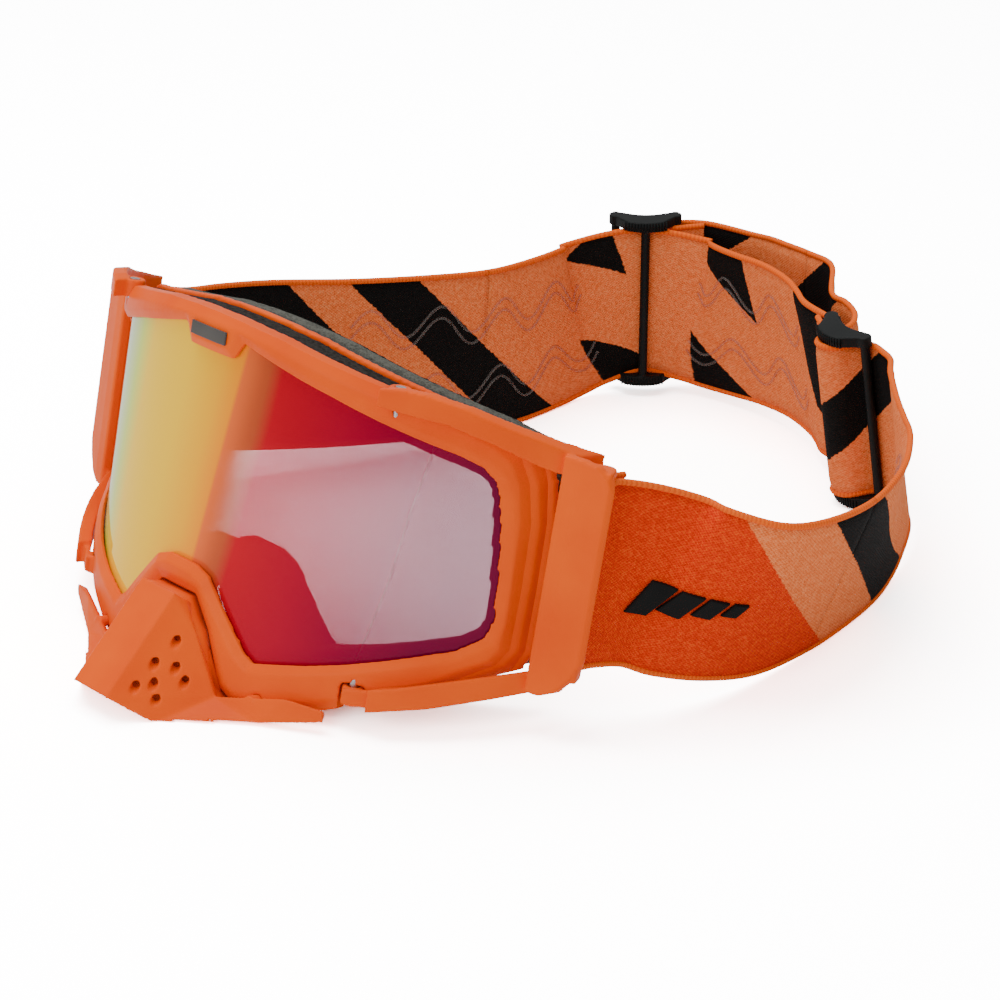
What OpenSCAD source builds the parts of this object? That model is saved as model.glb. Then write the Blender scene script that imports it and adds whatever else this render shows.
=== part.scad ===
// Motocross goggles standing on their nose guard, with the head strap laid out behind them.
// The goggle is drawn upright about its own lens, leaned back, then set above the floor.

/* [Goggle] */
// Lean of the goggle, top edge towards the wearer
lean = 13; // [11:0.5:15]
// Height of the goggle's own origin above the floor
rise = 40; // [40:0.5:44]
// Radius of the frame's front face
front_r = 88; // [87:0.5:89]
// Radius of the face side of the frame
face_r = 110; // [106:1:114]
// Thickness of the front bezel
bezel_t = 2.6; // [2.2:0.1:3]
// Thickness of the lens sheet
lens_t = 1.2; // [1:0.1:1.4]
// Width of the ledge that shows inside the lens opening
ledge_w = 3.6; // [3:0.1:4.2]
// Thickness of each firm foam layer
foam_t = 4.6; // [4:0.1:5]
// Thickness of the fleece
fleece_t = 2.4; // [2:0.1:3]

/* [Outriggers] */
// Thickness of an outrigger arm
arm_t = 3.6; // [3:0.1:4]
// Gap between an arm and the frame
arm_gap = 0.4; // [0.3:0.05:0.6]
// Radius of the hinge pins
pin_r = 1.25; // [1:0.05:1.4]
// Radial play of the arms on their pins
pin_play = 0.05; // [0.02:0.01:0.1]

/* [Nose guard] */
// Wall of the nose guard
guard_t = 2; // [1.6:0.1:2.4]
// Radius of the cooling holes
guard_hole_r = 1.05; // [0.8:0.05:1.2]
// Radius of the two pegs that hold the guard
peg_r = 1.4; // [1.2:0.1:1.6]

/* [Strap] */
// Width of the elastic
strap_w = 45; // [44:1:46]
// Thickness of the elastic
strap_t = 1.4; // [1.2:0.1:1.5]
// Radius of a slide's bars
bar_r = 1.3; // [1.2:0.1:1.4]
// Distance from a slide's centre bar to its side bars
bar_pitch = 8.6; // [8.4:0.1:9]
// How far the side bars stand outside the strap's middle
side_step = 3.45; // [3.4:0.05:3.7]
// How far the centre bar stands inside the strap's middle
centre_step = 2.3; // [2.3:0.05:2.6]

/* [Hidden] */
$fn = 96;

// The origin is the middle of the footprint, so everything moves by this much
base_shift = [-12.3, -45.6, 0];
// Foremost point of the frame's front face
apex = -51;
shell_y = apex + front_r;
orange = "#ff7a14";
black = "#222222";
peach = "#f2a878";

// Outer edge of the frame, right half, clockwise from the top middle
outer_half = [[0, 41], [8, 40.8], [20, 39.7], [35, 36.8], [45, 34.8], [60, 31.6], [69, 28.4],
    [73.4, 24.6], [75.6, 18], [76.8, 8], [77, -8], [76.8, -24], [74.6, -29.2], [66, -34.4],
    [55, -40.2], [44, -45.4], [33, -49.2], [22.5, -50.5], [17.6, -47.6], [12, -35],
    [6.5, -27.5], [0, -27.5]];
// Outer edge of what lies behind the bezel, which rises to clear the floor near the nose
rear_half = concat([for (i = [0:14]) outer_half[i]],
    [[44, -42.6], [33, -44.8], [24.6, -45.4], [19, -42.6]], [for (i = [19:21]) outer_half[i]]);
// Lens opening, right half, clockwise from the top middle, with the middle tab
opening_half = [[0, 31.4], [7.8, 31.4], [10.4, 36], [28, 31.4], [35, 29.7], [62, 21.9],
    [66, 19.9], [68.3, 17], [69.2, 13], [70.1, 5], [70.9, -7.5], [71.2, -16.6], [70.3, -21],
    [66, -25.1], [55.5, -29.8], [46.7, -33.2], [38.2, -35.9], [25.4, -39.2], [22.6, -37.4],
    [9.4, -22.4], [5, -20.7], [0, -20.6]];
// The same opening without the tab, which is how the parts behind the bezel see it
ledge_half = concat([[0, 35.6], [12, 35.2]], [for (i = [3:len(opening_half) - 1]) opening_half[i]]);

function both_halves(h) = concat(h, [for (i = [len(h) - 2:-1:1]) [-h[i][0], h[i][1]]]);
function unit(v) = v / norm(v);
function left_of(v) = [-v[1], v[0]];
// Moves each corner of a clockwise outline outwards by d
function grown(p, d) = [for (i = [0:len(p) - 1])
    let (a = p[(i + len(p) - 1) % len(p)], b = p[i], c = p[(i + 1) % len(p)],
        m = left_of(unit(b - a)), n = left_of(unit(c - b)))
    b + d * (m + n) / (1 + m * n)];

outer = both_halves(outer_half);
rear_outer = both_halves(rear_half);
opening = both_halves(opening_half);
ledge = both_halves(ledge_half);

// Stands a goggle part up, leaned back above the floor
module seated() {
    translate(base_shift + [0, 0, rise]) rotate([-lean, 0, 0]) children();
}
// Everything that is drawn straight above the floor
module laid() {
    translate(base_shift) children();
}
// A front view outline pushed through the goggle from front to back
module through() {
    translate([0, 60, 0]) rotate([90, 0, 0]) linear_extrude(140) children();
}
// A front view outline kept between two curved faces, each given by its radius and setback
module between_faces(front, front_back, rear, rear_back) {
    intersection() {
        through() children();
        difference() {
            translate([0, apex + front_back + front, -60]) cylinder(r = front, h = 120);
            translate([0, apex + rear_back + rear, -61]) cylinder(r = rear, h = 122);
            translate([-120, 30, -61]) cube([240, 200, 122]);
        }
    }
}
// A front view outline kept between two rings about the lens's own axis
module between_rings(r_out, r_in) {
    intersection() {
        through() children();
        difference() {
            translate([0, shell_y, -60]) cylinder(r = r_out, h = 120);
            translate([0, shell_y, -61]) cylinder(r = r_in, h = 122);
        }
    }
}
// A flat ring with outer edge a and inner edge b
module ring2d(a, b) {
    difference() {
        polygon(a);
        polygon(b);
    }
}
module box2d(x0, x1, z0, z1) {
    translate([x0, z0]) square([x1 - x0, z1 - z0]);
}
module mirrored_x() {
    children();
    mirror([1, 0, 0]) children();
}

// Hinge of an outrigger: plan position and the heights of its top and bottom knuckles
hinge_x = 49;
hinge_ring = 86.6;
hinge_y = shell_y - sqrt(hinge_ring * hinge_ring - hinge_x * hinge_x);
knuckle_r = 2.7;
knuckle_top = [31.2, 35.6];
knuckle_bottom = [-42.2, -37.6];
pin_top = [28.5, 35.6];
pin_bottom = [-42.2, -35.1];
knuckle_gap = 0.35;

module knuckle_space() {
    for (span = [[knuckle_top[0] - knuckle_gap, 60], [-60, knuckle_bottom[1] + knuckle_gap]])
        translate([hinge_x, hinge_y, span[0]])
            cylinder(r = knuckle_r + 0.5, h = span[1] - span[0]);
}
module pin_holes(r) {
    for (span = [pin_top, pin_bottom])
        translate([hinge_x, hinge_y, span[0]]) cylinder(r = r, h = span[1] - span[0]);
}

// Pegs of the nose guard, in the frame on each side of the nose
peg_at = [29, 0, -47.2];
peg_front = -48.6;
peg_end = -42;
module pegs(r, y0, y1) {
    mirrored_x() translate([peg_at[0], y1, peg_at[2]]) rotate([90, 0, 0]) cylinder(r = r, h = y1 - y0);
}

module front_frame() color(orange) seated() difference() {
    union() {
        between_faces(front_r, 0, front_r, bezel_t) ring2d(outer, opening);
        between_faces(front_r, 0, 95, 6) ring2d(outer, grown(outer, -2.6));
        // Corner posts that take the hinge pins, and the two peg bosses
        between_faces(front_r, 0, front_r, 4.5) {
            mirrored_x() intersection() {
                ring2d(outer, grown(opening, 2.9));
                union() {
                    box2d(44, 54, 24, 40);
                    box2d(44, 54, -46, -30);
                    box2d(24, 34, -54, -42);
                }
            }
        }
    }
    mirrored_x() knuckle_space();
    mirrored_x() pin_holes(pin_r);
    pegs(peg_r + pin_play, -60, peg_end + 0.4);
}

// Depth at which the lens sits, behind the bezel
lens_back = bezel_t + 0.3;
lens_edge = grown(ledge, 2.2);
module lens() color("#f0a030", 0.6) seated()
    between_faces(front_r, lens_back, front_r, lens_back + lens_t)
        intersection() {
            polygon(lens_edge);
            polygon(grown(outer, -2.9));
        }

seal_back = lens_back + lens_t + 0.1;
seal_t = 1;
module lens_seal() color(black) seated()
    between_faces(front_r, seal_back, front_r, seal_back + seal_t)
        ring2d(grown(ledge, 0.6), grown(ledge, -ledge_w + 0.8));

// The tunnel behind the lens and the flange that the face foam is glued to
tunnel_back = seal_back + seal_t + 0.1;
flange_back = 16.4;
flange_t = 2;
module inner_frame() color(orange) seated() difference() {
    union() {
        between_faces(front_r, tunnel_back, face_r, flange_back + 0.1)
            ring2d(grown(ledge, 0.8), grown(ledge, -ledge_w));
        between_faces(face_r, flange_back, face_r, flange_back + flange_t)
            ring2d(grown(rear_outer, -0.9), grown(ledge, -ledge_w));
        // Side walls outside the vents
        between_faces(front_r, tunnel_back + 1.4, face_r, flange_back + 0.1)
            intersection() {
                ring2d(grown(rear_outer, -3), grown(ledge, 0.7));
                union() {
                    box2d(62, 90, -60, 60);
                    box2d(-90, -62, -60, 60);
                }
            }
    }
    mirrored_x() for (z = [28, -60]) translate([hinge_x, hinge_y, z]) cylinder(r = knuckle_r + 1, h = 25.3);
}

// Open-cell strips that fill the slots between the bezel and the flange
module vent_strip(z0, z1) {
    between_faces(95, 6.4, face_r, flange_back - 0.3)
        intersection() {
            ring2d(grown(rear_outer, -1.6), grown(ledge, 1.2));
            box2d(-58, 58, z0, z1);
        }
}
module vent_foam_top() color("#35322f") seated() vent_strip(0, 60);
module vent_foam_bottom() color("#35322f") seated() vent_strip(-60, -26);

module foam_layer(back, t, shrink) {
    between_faces(face_r, back, face_r, back + t)
        ring2d(grown(rear_outer, -shrink), grown(ledge, 1.5 - shrink));
}
base_back = flange_back + flange_t;
module face_foam_base() color("#5c5c57") seated() foam_layer(base_back, foam_t, 2.2);
module face_foam_mid() color("#70706a") seated() foam_layer(base_back + foam_t, foam_t, 2.2);
module fleece_liner() color("#1e1e1e") seated() foam_layer(base_back + 2 * foam_t, fleece_t, 3);

// A plain plate let into the middle tab
module tab_badge() color("#4a4a4a") seated()
    between_faces(front_r, -0.7, front_r, 0) box2d(-6.2, 6.2, 34.2, 37.4);

// Nose guard: corner points of one half, outside face. t is the ridge top, n the nose tip
ridge_top = [6.1, -56, -26.8];
ridge_tip = [6.2, -73.2, -51.2];
guard_foot = [14, -64.4, -55.9];
wing_foot = [33, -48.4, -51.2];
wing_end = [47.4, -41.1, -46.9];
wing_end_top = [47.4, -41.5, -43.9];
wing_top = [37.8, -45.4, -43.6];
band_corner = [20.6, -51.6, -48.4];
band_mid = [12.4, -53, -35];
band_top = [7.4, -53.2, -28.4];
guard_half = [band_top, ridge_top, ridge_tip, guard_foot, wing_foot, wing_end, wing_end_top, wing_top,
    band_corner, band_mid];
// Each corner's way inwards, which sets where the inner face lies
inward = [[-0.2, 1, -0.4], [-0.4, 0.8, -0.75], [-0.4, 1, -0.1], [-0.5, 1, 0.5], [-0.3, 1, 0],
    [-0.9, 1, 0.6], [-0.9, 1, -0.5], [-0.1, 1, -0.9], [-0.1, 1, -0.9], [-0.9, 1, -0.2]];
function flip(p) = [-p[0], p[1], p[2]];
module guard_shell() {
    n = len(guard_half);
    right = guard_half;
    left = [for (p = guard_half) flip(p)];
    right_in = [for (i = [0:n - 1]) right[i] + guard_t * inward[i]];
    left_in = [for (p = right_in) flip(p)];
    side = [[0, 1, 9], [1, 2, 9], [9, 2, 8], [2, 3, 8], [8, 3, 4], [8, 4, 7], [7, 4, 5], [7, 5, 6]];
    rim = [[9, 8], [8, 7], [7, 6], [6, 5], [5, 4], [4, 3], [3, 2], [0, 9]];
    polyhedron(
        points = concat(right, left, right_in, left_in),
        faces = concat(
            [for (f = side) [f[0], f[2], f[1]]],
            [for (f = side) [f[0] + n, f[1] + n, f[2] + n]],
            [for (f = side) [f[0] + 2 * n, f[1] + 2 * n, f[2] + 2 * n]],
            [for (f = side) [f[0] + 3 * n, f[2] + 3 * n, f[1] + 3 * n]],
            [[0, n + 1, n], [0, 1, n + 1], [1, n + 2, n + 1], [1, 2, n + 2]],
            [[2 * n, 3 * n, 3 * n + 1], [2 * n, 3 * n + 1, 2 * n + 1],
                [2 * n + 1, 3 * n + 1, 3 * n + 2], [2 * n + 1, 3 * n + 2, 2 * n + 2]],
            [for (e = rim) [e[0], e[1] + 2 * n, e[1]]],
            [for (e = rim) [e[0], e[0] + 2 * n, e[1] + 2 * n]],
            [for (e = rim) [e[0] + n, e[1] + n, e[1] + 3 * n]],
            [for (e = rim) [e[0] + n, e[1] + 3 * n, e[0] + 3 * n]],
            [[0, 3 * n, 2 * n], [0, n, 3 * n], [2, 3 * n + 2, n + 2], [2, 2 * n + 2, 3 * n + 2]]
        ));
}
// Cooling holes of one side: steps down the ridge and steps back from it
guard_holes = [[0.25, 0.66], [0.54, 0.48], [0.42, 0.93], [0.45, 1.25], [0.8, 0.38], [0.68, 0.67], [0.78, 0.86]];
module guard_hole_cutters() {
    for (h = guard_holes) {
        ridge = ridge_top + h[0] * (ridge_tip - ridge_top);
        band = band_mid + h[0] * (guard_foot - band_mid);
        at = ridge + h[1] * (band - ridge);
        translate(at) rotate([0, 0, 38]) rotate([90 + 28, 0, 0]) cylinder(r = guard_hole_r, h = 12, center = true);
    }
}
module nose_guard() color(orange) seated() union() {
    difference() {
        guard_shell();
        mirrored_x() guard_hole_cutters();
    }
    pegs(peg_r, peg_front, peg_end);
}

// Arm and bar of the right outrigger
arm_top_outline = [[hinge_x - 0.5, 31.2], [hinge_x - 0.5, 35.6], [52, 36.2], [57, 36], [64, 34.4],
    [76, 29.4], [81.5, 26.6], [81.5, 21], [78, 22.4], [70, 26.9], [62, 29.9]];
arm_bottom_outline = [[55.5, -36.2], [55.5, -42], [66, -38.6], [75, -34.4], [81.5, -31], [81.5, -26.6],
    [78.4, -27], [69, -31], [60, -34.8]];
// Thin lug that carries the lower knuckle
lug_outline = [[hinge_x, -37.9], [hinge_x, -41.9], [58, -41.4], [58, -36.6]];
lug_t = 1.5;
bar_face = [[78, -31], [84, -31], [87.6, -29.2], [90.6, -25], [93, -19], [93, 20], [91.4, 23.8],
    [88.4, 26.2], [84.6, 27], [78, 27]];
bar_plan = [[80.6, -10.4], [84.6, -9.3], [92, -6.2], [92.6, -4.6], [91.6, -3.8], [84.8, -6.4], [79.8, -7.6]];
bridge_plan = [[82.6, -8], [91.4, -5.4], [90, -2.8], [88.4, -0.2], [86.6, 0.6], [84.4, 0.2], [82.6, -2.4]];
bar_span = [-33, 29];
slot_span = [-23.2, 22.2];
bridge_h = 3;
post_at = [86.4, -1.6];
post_r = 1.7;
module bar_length(z0, z1) {
    translate([0, 0, z0]) linear_extrude(z1 - z0) children();
}
module outrigger() {
    difference() {
        union() {
            between_rings(front_r + arm_gap + arm_t, front_r + arm_gap) {
                polygon(arm_top_outline);
                polygon(arm_bottom_outline);
            }
            between_rings(front_r + arm_gap + lug_t, front_r + arm_gap + 0.1) polygon(lug_outline);
            for (span = [knuckle_top, knuckle_bottom])
                translate([hinge_x, hinge_y, span[0]]) cylinder(r = knuckle_r, h = span[1] - span[0]);
            intersection() {
                bar_length(bar_span[0], bar_span[1]) polygon(bar_plan);
                through() polygon(bar_face);
            }
            bar_length(slot_span[0] - bridge_h, slot_span[0]) polygon(bridge_plan);
            bar_length(slot_span[1], slot_span[1] + bridge_h) polygon(bridge_plan);
            bar_length(slot_span[0] - 1, slot_span[1] + 1) translate(post_at) circle(r = post_r);
        }
        for (span = [knuckle_top, knuckle_bottom])
            translate([hinge_x, hinge_y, span[0] - 1]) cylinder(r = pin_r + pin_play, h = span[1] - span[0] + 2);
    }
}
module outrigger_right() color(orange) seated() outrigger();
module outrigger_left() color(orange) seated() mirror([1, 0, 0]) outrigger();
module hinge_pins_right() color("silver") seated() pin_holes(pin_r);
module hinge_pins_left() color("silver") seated() mirror([1, 0, 0]) pin_holes(pin_r);

// The sewn loop that holds the strap on an outrigger's post
anchor_end = 8.4;
anchor_foot = -23;
loop_gap = 0.1;
module strap_anchor() {
    r_in = post_r + loop_gap;
    r_out = r_in + strap_t - 0.2;
    translate([0, 0, anchor_foot]) difference() {
        union() {
            translate([post_at[0], post_at[1], 0]) cylinder(r = r_out, h = strap_w);
            translate([post_at[0] - 0.2, post_at[1] + 0.8, 0])
                cube([r_out + 0.2, anchor_end - post_at[1] - 0.8, strap_w]);
        }
        translate([post_at[0], post_at[1], -1]) cylinder(r = r_in, h = strap_w + 2);
    }
}
module strap_anchor_right() color("#e65a00") seated() strap_anchor();
module strap_anchor_left() color("#e65a00") seated() mirror([1, 0, 0]) strap_anchor();

// Routes of the elastic: each point is the lower edge in plan, its height, and the outward lean
left_route = [[-88.9, 7, 14, 0], [-85, 20, 10.6, 1], [-77.8, 36.6, 7.6, 1], [-67.4, 57.8, 5.4, 0],
    [-58.4, 79, 3.6, -1], [-53, 97, 1.8, -1], [-51.6, 114, 0.6, -1], [-51.8, 130, 0.3, -1],
    [-51.6, 139.4, 3.6, -1], [-49.2, 146.8, 6.9, -3], [-42.5, 155, 7.2, -3], [-34.4, 161.8, 6.9, -4],
    [-26.8, 164.9, 5, -8], [-17, 166.6, 4, -10], [-6, 166.8, 4.4, -12], [6.2, 165, 4.8, -12],
    [18.2, 160, 5, -11], [25, 155.6, 5, -10], [30.4, 151.6, 5, -9]];
right_route = [[89.2, 6.6, 14, 0], [93, 13.6, 10.4, 9], [98.2, 26, 6.4, 18], [100.8, 42, 2.8, 20],
    [100.2, 62, 0.9, 20], [97.6, 80.6, 0.5, 16], [93.8, 96.4, 0.5, 9], [89.6, 108, 1.6, 3],
    [85, 118, 3.2, -3], [77.8, 130.2, 4.6, -8]];

// Slides: where the strap's lower edge crosses the slide, its direction, and its inward tilt
slide_one = [-42.5, 155, 7.2];
slide_one_turn = 44.6;
slide_one_tilt = 3;
slide_two = [51.3, 139, 4.8];
slide_two_turn = -20;
slide_two_tilt = 9;
// The weave through the second slide, along and outwards from it
weave = [[19, 5], [14.2, 5.8], [8.8, 5.8], [5.4, 3.4], [3.4, -2.4], [0, -4.8], [-3.3, -4.3],
    [-4.9, -1.2], [-4.6, 3], [-5.6, 7.4], [-9, 10.8], [-13.5, 12.8], [-19.5, 13.7], [-26.5, 13.8]];
turn_route = [for (p = weave) [p[0], p[1], 0, 0]];
return_route = [[26.6, 163, 5.4, -4], [18, 167.6, 5, 0], [6, 171.4, 4.6, 0], [-6, 173.4, 4.4, 0],
    [-14, 173.4, 4.6, 0], [-19.6, 172.6, 5, 0]];

// Points between b and c on the smooth curve through four neighbours
function between(a, b, c, d, t) = 0.5 * (2 * b + (c - a) * t + (2 * a - 5 * b + 4 * c - d) * t * t
    + (3 * b - a - 3 * c + d) * t * t * t);
function near_point(r, i) = i < 0 ? 2 * r[0] - r[1]
    : i >= len(r) ? 2 * r[len(r) - 1] - r[len(r) - 2] : r[i];
function smoothed(r, steps) = concat(
    [for (i = [0:len(r) - 2], k = [0:steps - 1])
        between(near_point(r, i - 1), r[i], r[i + 1], near_point(r, i + 2), k / steps)],
    [r[len(r) - 1]]);
function place_of(p) = [p[0], p[1], p[2]];
// One cross-section of the elastic: outward and upward vectors give its four corners
function rib(r, i, w, t, out, up) =
    let (d = unit(place_of(near_point(r, i + 1)) - place_of(near_point(r, i - 1))),
        level = unit(cross(d, [0, 0, 1])) * (r[0][0] > r[len(r) - 1][0] ? 1 : -1),
        plumb = cross(level, d) * (r[0][0] > r[len(r) - 1][0] ? 1 : -1),
        across = cos(r[i][3]) * plumb + sin(r[i][3]) * level,
        face = cos(r[i][3]) * level - sin(r[i][3]) * plumb,
        low = place_of(r[i]) + up * across + out * face)
    [low - face * t / 2, low + face * t / 2, low + across * w + face * t / 2, low + across * w - face * t / 2];
module ribbon(route, steps, first = 0, last = 99, w = strap_w, t = strap_t, out = 0, up = 0) {
    r = smoothed(route, steps);
    from = steps * first;
    to = min(steps * last, len(r) - 1);
    n = to - from + 1;
    rings = [for (i = [from:to]) rib(r, i, w, t, out, up)];
    flipped = route[0][0] > route[len(route) - 1][0];
    side = [for (i = [0:n - 2], k = [0:3], half = [0, 1])
        let (a = 4 * i + k, b = 4 * i + (k + 1) % 4, c = b + 4, d = a + 4,
            f = half == 0 ? [a, b, c] : [a, c, d])
        flipped ? f : [f[2], f[1], f[0]]];
    caps = flipped ? [[3, 2, 1, 0], [for (k = [0:3]) 4 * (n - 1) + k]]
        : [[0, 1, 2, 3], [for (k = [3:-1:0]) 4 * (n - 1) + k]];
    polyhedron(points = [for (g = rings, p = g) p], faces = concat(side, caps));
}
module strap_left() color(peach) laid() ribbon(left_route, 3);
module strap_right() color("#f06010") laid() ribbon(right_route, 4);
module strap_turn() color(peach) at_slide(slide_two, slide_two_turn, slide_two_tilt) ribbon(turn_route, 3);
module strap_return() color(peach) laid() ribbon(return_route, 3);

// A buckle with a centre bar set inwards, side bars set outwards and ribbed ends
end_h = 3;
end_plan = concat(
    [for (a = [-90:30:90]) [bar_pitch + 2 * cos(a), side_step + 2 * sin(a)]],
    [for (x = [6:-3:-6]) [x, side_step + 2 - 2.6 * (1 - x * x / 60)]],
    [for (a = [90:30:270]) [-bar_pitch + 2 * cos(a), side_step + 2 * sin(a)]],
    [for (x = [-5:2.5:5]) [x, -centre_step - 1.8 + 2.6 * x * x / 60]]);
module slide() {
    for (z = [-end_h - 0.6, strap_w + 0.6]) translate([0, 0, z]) linear_extrude(end_h) polygon(end_plan);
    for (p = [[-bar_pitch, side_step], [0, -centre_step], [bar_pitch, side_step]])
        translate([p[0], p[1], -1]) cylinder(r = bar_r, h = strap_w + 2);
}
module at_slide(c, turn, tilt) {
    laid() translate(c) rotate([0, 0, turn]) rotate([tilt, 0, 0]) children();
}
module slide_left() color(black) at_slide(slide_one, slide_one_turn, slide_one_tilt) slide();
module slide_right() color(black) at_slide(slide_two, slide_two_turn, slide_two_tilt) slide();

// A strap end folded round a side bar and sewn down; way is 1 or -1 along the slide
tail_l = 6;
module strap_end(way) {
    r_in = bar_r + loop_gap / 2;
    r_out = r_in + 1.1;
    difference() {
        union() {
            translate([0, side_step, 0]) cylinder(r = r_out, h = strap_w);
            translate([way > 0 ? 0.8 : -tail_l - r_out, side_step - 0.2, 0])
                cube([tail_l + r_out - 0.8, r_out + 0.2, strap_w]);
        }
        translate([0, side_step, -1]) cylinder(r = r_in, h = strap_w + 2);
    }
}
module strap_end_right() color(peach) at_slide(slide_one, slide_one_turn, slide_one_tilt)
    translate([bar_pitch, 0, 0]) strap_end(1);
module strap_end_left() color(peach) at_slide(slide_two, slide_two_turn, slide_two_tilt)
    translate([-bar_pitch, 0, 0]) strap_end(-1);

// Raised plate on the near side of the strap, and the grip lines printed inside the strap
// Both lie between two points of their strap's route
badge_at = [1, 3];
badge_h = 10;
badge_up = 12;
badge_t = 1;
module strap_badge() color(black) laid()
    ribbon(right_route, 4, badge_at[0], badge_at[1], badge_h, badge_t,
        (strap_t + badge_t) / 2 + badge_gap, badge_up);
badge_gap = 0.5;
skin_gap = 0.45;
grip_rows = [15, 34];
grip_w = 3;
grip_t = 0.4;
grip_out = -(strap_t + grip_t) / 2 - skin_gap;
module grip_lines_left() color("#c07040") laid() for (up = grip_rows)
    ribbon(left_route, 3, 3, 8, grip_w, grip_t, grip_out, up);
module grip_lines_right() color("#c07040") laid() for (up = grip_rows)
    ribbon(right_route, 4, 4, 8, grip_w, grip_t, grip_out, up);

front_frame();
inner_frame();
lens();
lens_seal();
tab_badge();
vent_foam_top();
vent_foam_bottom();
face_foam_base();
face_foam_mid();
fleece_liner();
nose_guard();
outrigger_left();
outrigger_right();
hinge_pins_left();
hinge_pins_right();
strap_anchor_left();
strap_anchor_right();
strap_left();
strap_right();
strap_turn();
strap_return();
strap_end_left();
strap_end_right();
slide_left();
slide_right();
strap_badge();
grip_lines_left();
grip_lines_right();
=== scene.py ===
import math

import bmesh
import bpy
import numpy as np
from mathutils import Matrix, Vector


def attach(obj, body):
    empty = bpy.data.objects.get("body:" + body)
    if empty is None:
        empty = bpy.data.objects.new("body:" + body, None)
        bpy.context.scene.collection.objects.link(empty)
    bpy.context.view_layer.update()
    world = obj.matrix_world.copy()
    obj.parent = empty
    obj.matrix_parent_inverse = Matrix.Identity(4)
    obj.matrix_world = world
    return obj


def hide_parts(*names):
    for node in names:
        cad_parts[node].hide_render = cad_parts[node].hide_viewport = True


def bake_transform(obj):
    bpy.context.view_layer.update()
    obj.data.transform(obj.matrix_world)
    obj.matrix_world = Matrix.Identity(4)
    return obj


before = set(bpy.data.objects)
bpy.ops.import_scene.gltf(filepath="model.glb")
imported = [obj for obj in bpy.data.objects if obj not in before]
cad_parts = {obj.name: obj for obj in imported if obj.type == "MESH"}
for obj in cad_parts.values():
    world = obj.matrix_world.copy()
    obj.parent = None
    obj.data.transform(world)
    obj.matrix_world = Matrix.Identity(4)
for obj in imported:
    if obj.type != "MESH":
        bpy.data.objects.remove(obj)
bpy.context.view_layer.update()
scene = bpy.context.scene
MM = 0.001

# ---------------------------------------------------------------- places

# The goggle's own frame is upright about its lens, in millimetres, and leans back above the floor
LEAN = math.radians(13)
RISE = 40
SHIFT = np.array([-12.3, -45.6, 0])
LENS_CENTRE_Y = 37
FRONT_R = 88


def stand(p):
    """Goggle frame points, in mm, to the floor frame, in mm."""
    p = np.atleast_2d(np.array(p, float))
    y = p[:, 1] * math.cos(LEAN) + p[:, 2] * math.sin(LEAN)
    z = -p[:, 1] * math.sin(LEAN) + p[:, 2] * math.cos(LEAN) + RISE
    return np.stack([p[:, 0], y, z], 1)


def unstand(p):
    """Floor frame points, in mm, back to the goggle frame."""
    y, z = p[:, 1], p[:, 2] - RISE
    return np.stack([p[:, 0], y * math.cos(LEAN) - z * math.sin(LEAN),
                     y * math.sin(LEAN) + z * math.cos(LEAN)], 1)


def to_row(p):
    """Floor frame, in mm, to the row frame, in metres."""
    return (np.atleast_2d(np.array(p, float)) + SHIFT) * MM


def from_row(p):
    return p / MM - SHIFT


# ---------------------------------------------------------------- node helpers


def linear(hex_colour):
    """An sRGB hex colour as linear RGBA."""
    out = []
    for i in (1, 3, 5):
        c = int(hex_colour[i:i + 2], 16) / 255
        out.append(c / 12.92 if c <= 0.04045 else ((c + 0.055) / 1.055) ** 2.4)
    return (*out, 1)


def add(tree, kind, settings=None, **links):
    """Adds a node: settings are its properties, links its inputs by name, each a value or a socket."""
    node = tree.nodes.new(kind)
    for key, value in (settings or {}).items():
        setattr(node, key, value)
    for key, value in links.items():
        key = key.replace("_", " ")
        socket = node.inputs[int(key[2:])] if key.startswith("in") and key[2:].isdigit() else node.inputs[key]
        if isinstance(value, bpy.types.NodeSocket):
            tree.links.new(value, socket)
        else:
            socket.default_value = value
    return node


def new_material(name):
    """An empty material with its Principled shader linked to the output."""
    m = bpy.data.materials.new(name)
    m.use_nodes = True
    tree = m.node_tree
    tree.nodes.clear()
    out = add(tree, "ShaderNodeOutputMaterial")
    shader = add(tree, "ShaderNodeBsdfPrincipled")
    tree.links.new(shader.outputs[0], out.inputs["Surface"])
    return m, tree, shader, out


def in_mm(tree):
    """Object coordinates in millimetres."""
    co = add(tree, "ShaderNodeTexCoord").outputs["Object"]
    return add(tree, "ShaderNodeVectorMath", {"operation": "SCALE"}, in0=co, Scale=1000).outputs[0]


def noise(tree, vector, size_mm, detail=3.0):
    """Noise whose blobs are about size_mm across, where vector is in millimetres."""
    return add(tree, "ShaderNodeTexNoise", Vector=vector, Scale=1 / size_mm, Detail=detail).outputs[0]


def ramp(tree, value, stops):
    node = add(tree, "ShaderNodeValToRGB", Fac=value)
    marks = node.color_ramp.elements
    while len(marks) < len(stops):
        marks.new(0.5)
    for mark, (place, colour) in zip(marks, stops):
        mark.position = place
        mark.color = linear(colour)
    return node.outputs[0]


def maths(tree, operation, a, b=0.0):
    return add(tree, "ShaderNodeMath", {"operation": operation}, in0=a, in1=b).outputs[0]


def scaled(tree, value, factor, offset, clamp=False):
    """value * factor + offset, where offset is a number or a socket."""
    return add(tree, "ShaderNodeMath", {"operation": "MULTIPLY_ADD", "use_clamp": clamp}, in0=value, in1=factor,
               in2=offset).outputs[0]


def mix(tree, factor, a, b):
    return add(tree, "ShaderNodeMix", {"data_type": "RGBA"}, in0=factor, in6=a, in7=b).outputs[2]


def bump(tree, height, distance_mm, strength=1.0):
    return add(tree, "ShaderNodeBump", Height=height, Distance=distance_mm * MM, Strength=strength).outputs[0]


# ---------------------------------------------------------------- materials


ROUGH_SPREAD = 0.12


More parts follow.
